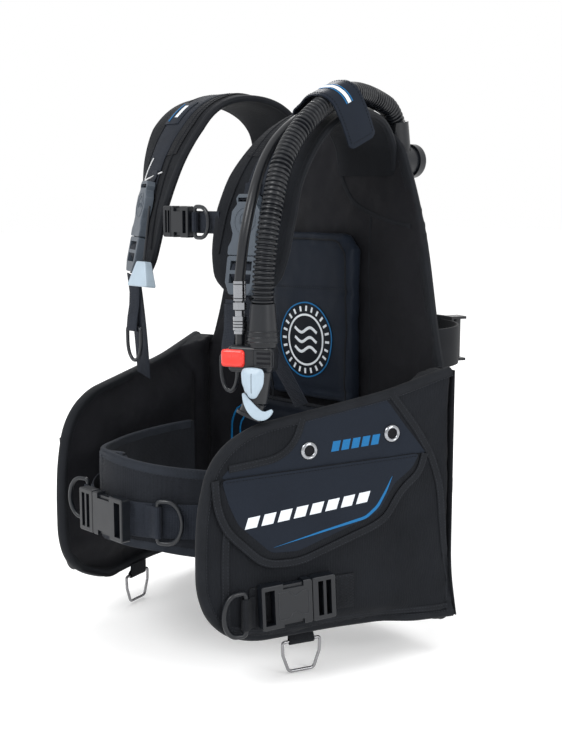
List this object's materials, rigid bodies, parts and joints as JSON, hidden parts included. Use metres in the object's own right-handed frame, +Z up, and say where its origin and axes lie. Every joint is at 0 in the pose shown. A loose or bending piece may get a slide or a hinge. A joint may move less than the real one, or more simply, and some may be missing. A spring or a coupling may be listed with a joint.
{
  "type": "buoyancy compensator vest",
  "caption": "Jacket buoyancy vest with side lobes, padded harness, cylinder backplate and cam band, power inflator on a corrugated hose, dump valves and release buckles.",
  "frame": {"origin": "on the axis of the diving cylinder that the band holds, at the band's mid height", "axes": "+X is the wearer's left, -Y is the front of the vest, +Z is up along the cylinder"},
  "size_m": [0.4684, 0.5672, 0.6399],
  "materials": {
    "shell_nylon": "woven nylon",
    "slate_vinyl": "smooth coated fabric",
    "webbing": "ribbed polyester webbing",
    "band_webbing": "ribbed nylon webbing",
    "black_plastic": "satin",
    "grey_buckle": "satin",
    "grey_plastic": "satin",
    "pale_plastic": "satin",
    "red_plastic": "satin",
    "steel": "polished",
    "chrome": "polished",
    "hose_rubber": "matte",
    "valve_rubber": "matte"
  },
  "bodies": {
    "jacket": {"back_air_cell": "shell_nylon", "back_pad": "slate_vinyl", "backplate": "black_plastic", "cam_buckle_frame": "black_plastic", "cam_pin": "steel", "carry_handle": "black_plastic", "corrugated_hose": "hose_rubber", "dump_valve_bodies": "black_plastic", "elbow_cap": "black_plastic", "hose_coupling": "chrome", "hose_elbow": "black_plastic", "inflator_body": "black_plastic", "left_cummerbund": "shell_nylon", "left_lobe": "shell_nylon", "left_shoulder_pad": "shell_nylon", "lp_fitting": "chrome", "lp_hose": "hose_rubber", "lumbar_pad": "slate_vinyl", "mouthpiece": "valve_rubber", "pocket_buckle_females": "black_plastic", "pocket_grommets": "steel", "right_cummerbund": "shell_nylon", "right_lobe": "shell_nylon", "right_shoulder_pad": "shell_nylon", "sewn_webbing": "webbing", "shoulder_buckle_females": "grey_buckle", "sternum_buckle_female": "black_plastic", "sternum_straps": "webbing", "tank_band": "band_webbing", "waist_buckle_female": "black_plastic", "waist_straps": "webbing"},
    "cam_lever": {"cam_lever": "black_plastic"},
    "left_pocket_flap": {"left_pocket_flap": "slate_vinyl"},
    "right_pocket_flap": {"right_pocket_flap": "slate_vinyl"},
    "hose_keeper_flap": {"hose_keeper_flap": "slate_vinyl"},
    "waist_buckle_male": {"waist_buckle_male": "black_plastic"},
    "left_waist_ring": {"left_waist_ring": "grey_plastic"},
    "right_waist_ring": {"right_waist_ring": "grey_plastic"},
    "sternum_buckle_male": {"sternum_buckle_male": "black_plastic"},
    "sternum_ring": {"sternum_ring": "grey_plastic"},
    "left_shoulder_buckle_male": {"left_shoulder_buckle_male": "grey_buckle", "left_pull_tail": "webbing", "left_lower_webbing": "webbing"},
    "left_pull_ring": {"left_pull_ring": "grey_plastic"},
    "right_shoulder_buckle_male": {"right_shoulder_buckle_male": "grey_buckle", "right_pull_tail": "webbing", "right_lower_webbing": "webbing"},
    "right_pull_ring": {"right_pull_ring": "grey_plastic"},
    "left_pocket_buckle_male": {"left_pocket_buckle_male": "black_plastic"},
    "left_pocket_handle": {"left_pocket_handle": "grey_plastic"},
    "left_steel_ring": {"left_steel_ring": "steel"},
    "right_pocket_buckle_male": {"right_pocket_buckle_male": "black_plastic"},
    "right_pocket_handle": {"right_pocket_handle": "grey_plastic"},
    "right_steel_ring": {"right_steel_ring": "steel"},
    "inflate_button": {"inflate_button": "red_plastic"},
    "deflate_button": {"deflate_button": "pale_plastic"},
    "coupling_sleeve": {"coupling_sleeve": "chrome"},
    "shoulder_dump_knob": {"shoulder_dump_knob": "pale_plastic"},
    "shoulder_dump_disc": {"shoulder_dump_disc": "valve_rubber"},
    "rear_dump_knob": {"rear_dump_knob": "pale_plastic"}
  },
  "joints": [
    {"name": "cam_lever_open", "type": "hinge", "parent": "jacket", "child": "cam_lever", "pos_m": [0.03337, 0.10271, 0], "axis": [0, 0, -1], "range_deg": [0, 140]},
    {"name": "left_pocket_flap_lift", "type": "hinge", "parent": "jacket", "child": "left_pocket_flap", "pos_m": [0.15403, -0.40913, -0.0928], "axis": [-0.2904, -0.9565, -0.0292], "range_deg": [0, 110]},
    {"name": "right_pocket_flap_lift", "type": "hinge", "parent": "jacket", "child": "right_pocket_flap", "pos_m": [-0.14433, -0.40614, -0.0928], "axis": [-0.3236, 0.9458, 0.0292], "range_deg": [0, 110]},
    {"name": "hose_keeper_lift", "type": "hinge", "parent": "jacket", "child": "hose_keeper_flap", "pos_m": [0.0919, -0.21074, 0.28793], "axis": [0, -0.9135, -0.4067], "range_deg": [0, 90]},
    {"name": "waist_buckle_release", "type": "slide", "parent": "jacket", "child": "waist_buckle_male", "axis": [-1, 0, 0], "range_m": [0, 0.024]},
    {"name": "left_waist_ring_swing", "type": "hinge", "parent": "jacket", "child": "left_waist_ring", "pos_m": [0.06666, -0.42317, -0.152], "axis": [0, 0, -1], "range_deg": [0, 135]},
    {"name": "right_waist_ring_swing", "type": "hinge", "parent": "jacket", "child": "right_waist_ring", "pos_m": [-0.06666, -0.42317, -0.152], "axis": [0, 0, 1], "range_deg": [-50, 75]},
    {"name": "sternum_buckle_release", "type": "slide", "parent": "jacket", "child": "sternum_buckle_male", "axis": [-1, 0, 0], "range_m": [0, 0.012]},
    {"name": "sternum_ring_swing", "type": "hinge", "parent": "jacket", "child": "sternum_ring", "pos_m": [0.018, -0.3305, 0.163], "axis": [0, 0, -1], "range_deg": [0, 130]},
    {"name": "left_shoulder_buckle_release", "type": "slide", "parent": "jacket", "child": "left_shoulder_buckle_male", "axis": [0.0703, -0.1931, -0.9787], "range_m": [0, 0.018], "deforming": ["left_lower_webbing"]},
    {"name": "left_pull_ring_swing", "type": "hinge", "parent": "left_shoulder_buckle_male", "child": "left_pull_ring", "pos_m": [0.089, -0.341, 0.022], "axis": [1, 0, 0], "range_deg": [-60, 85]},
    {"name": "right_shoulder_buckle_release", "type": "slide", "parent": "jacket", "child": "right_shoulder_buckle_male", "axis": [-0.0703, -0.1931, -0.9787], "range_m": [0, 0.018], "deforming": ["right_lower_webbing"]},
    {"name": "right_pull_ring_swing", "type": "hinge", "parent": "right_shoulder_buckle_male", "child": "right_pull_ring", "pos_m": [-0.089, -0.3398, 0.037], "axis": [1, 0, 0], "range_deg": [-60, 85]},
    {"name": "left_pocket_buckle_release", "type": "slide", "parent": "jacket", "child": "left_pocket_buckle_male", "axis": [0.2902, 0.9559, 0.045], "range_m": [0, 0.024]},
    {"name": "left_pocket_handle_swing", "type": "hinge", "parent": "jacket", "child": "left_pocket_handle", "pos_m": [0.16407, -0.38292, -0.238], "axis": [0, 0, 1], "range_deg": [0, 140]},
    {"name": "left_steel_ring_swing", "type": "hinge", "parent": "jacket", "child": "left_steel_ring", "pos_m": [0.15936, -0.29998, -0.288], "axis": [0.2905, 0.9569, 0], "range_deg": [-70, 70]},
    {"name": "right_pocket_buckle_release", "type": "slide", "parent": "jacket", "child": "right_pocket_buckle_male", "axis": [-0.3234, 0.9452, 0.045], "range_m": [0, 0.024]},
    {"name": "right_pocket_handle_swing", "type": "hinge", "parent": "jacket", "child": "right_pocket_handle", "pos_m": [-0.15529, -0.38029, -0.238], "axis": [0, 0, -1], "range_deg": [0, 140]},
    {"name": "right_steel_ring_swing", "type": "hinge", "parent": "jacket", "child": "right_steel_ring", "pos_m": [-0.15348, -0.29723, -0.288], "axis": [-0.3237, 0.9462, 0], "range_deg": [-70, 70]},
    {"name": "inflate_button_press", "type": "slide", "parent": "jacket", "child": "inflate_button", "axis": [0.8829, 0.4695, 0], "range_m": [0, 0.003], "stiffness_N_per_m": 900},
    {"name": "deflate_button_press", "type": "slide", "parent": "jacket", "child": "deflate_button", "axis": [-0.4695, 0.8829, 0], "range_m": [0, 0.004], "stiffness_N_per_m": 900},
    {"name": "coupling_sleeve_pull", "type": "slide", "parent": "jacket", "child": "coupling_sleeve", "axis": [-0.0278, 0.0148, 0.9995], "range_m": [0, 0.004], "stiffness_N_per_m": 900},
    {"name": "shoulder_dump_pull", "type": "slide", "parent": "jacket", "child": "shoulder_dump_knob", "axis": [0, -0.1458, -0.9893], "range_m": [0, 0.02], "stiffness_N_per_m": 120},
    {"name": "shoulder_dump_lift", "type": "slide", "parent": "jacket", "child": "shoulder_dump_disc", "axis": [0, 1, 0], "range_m": [0, 0.006]},
    {"name": "rear_dump_pull", "type": "slide", "parent": "jacket", "child": "rear_dump_knob", "axis": [0, 1, 0], "range_m": [0, 0.006], "stiffness_N_per_m": 300}
  ],
  "couplings": [
    {"joint": "shoulder_dump_lift", "follows": "shoulder_dump_pull", "ratio": 0.3}
  ]
}
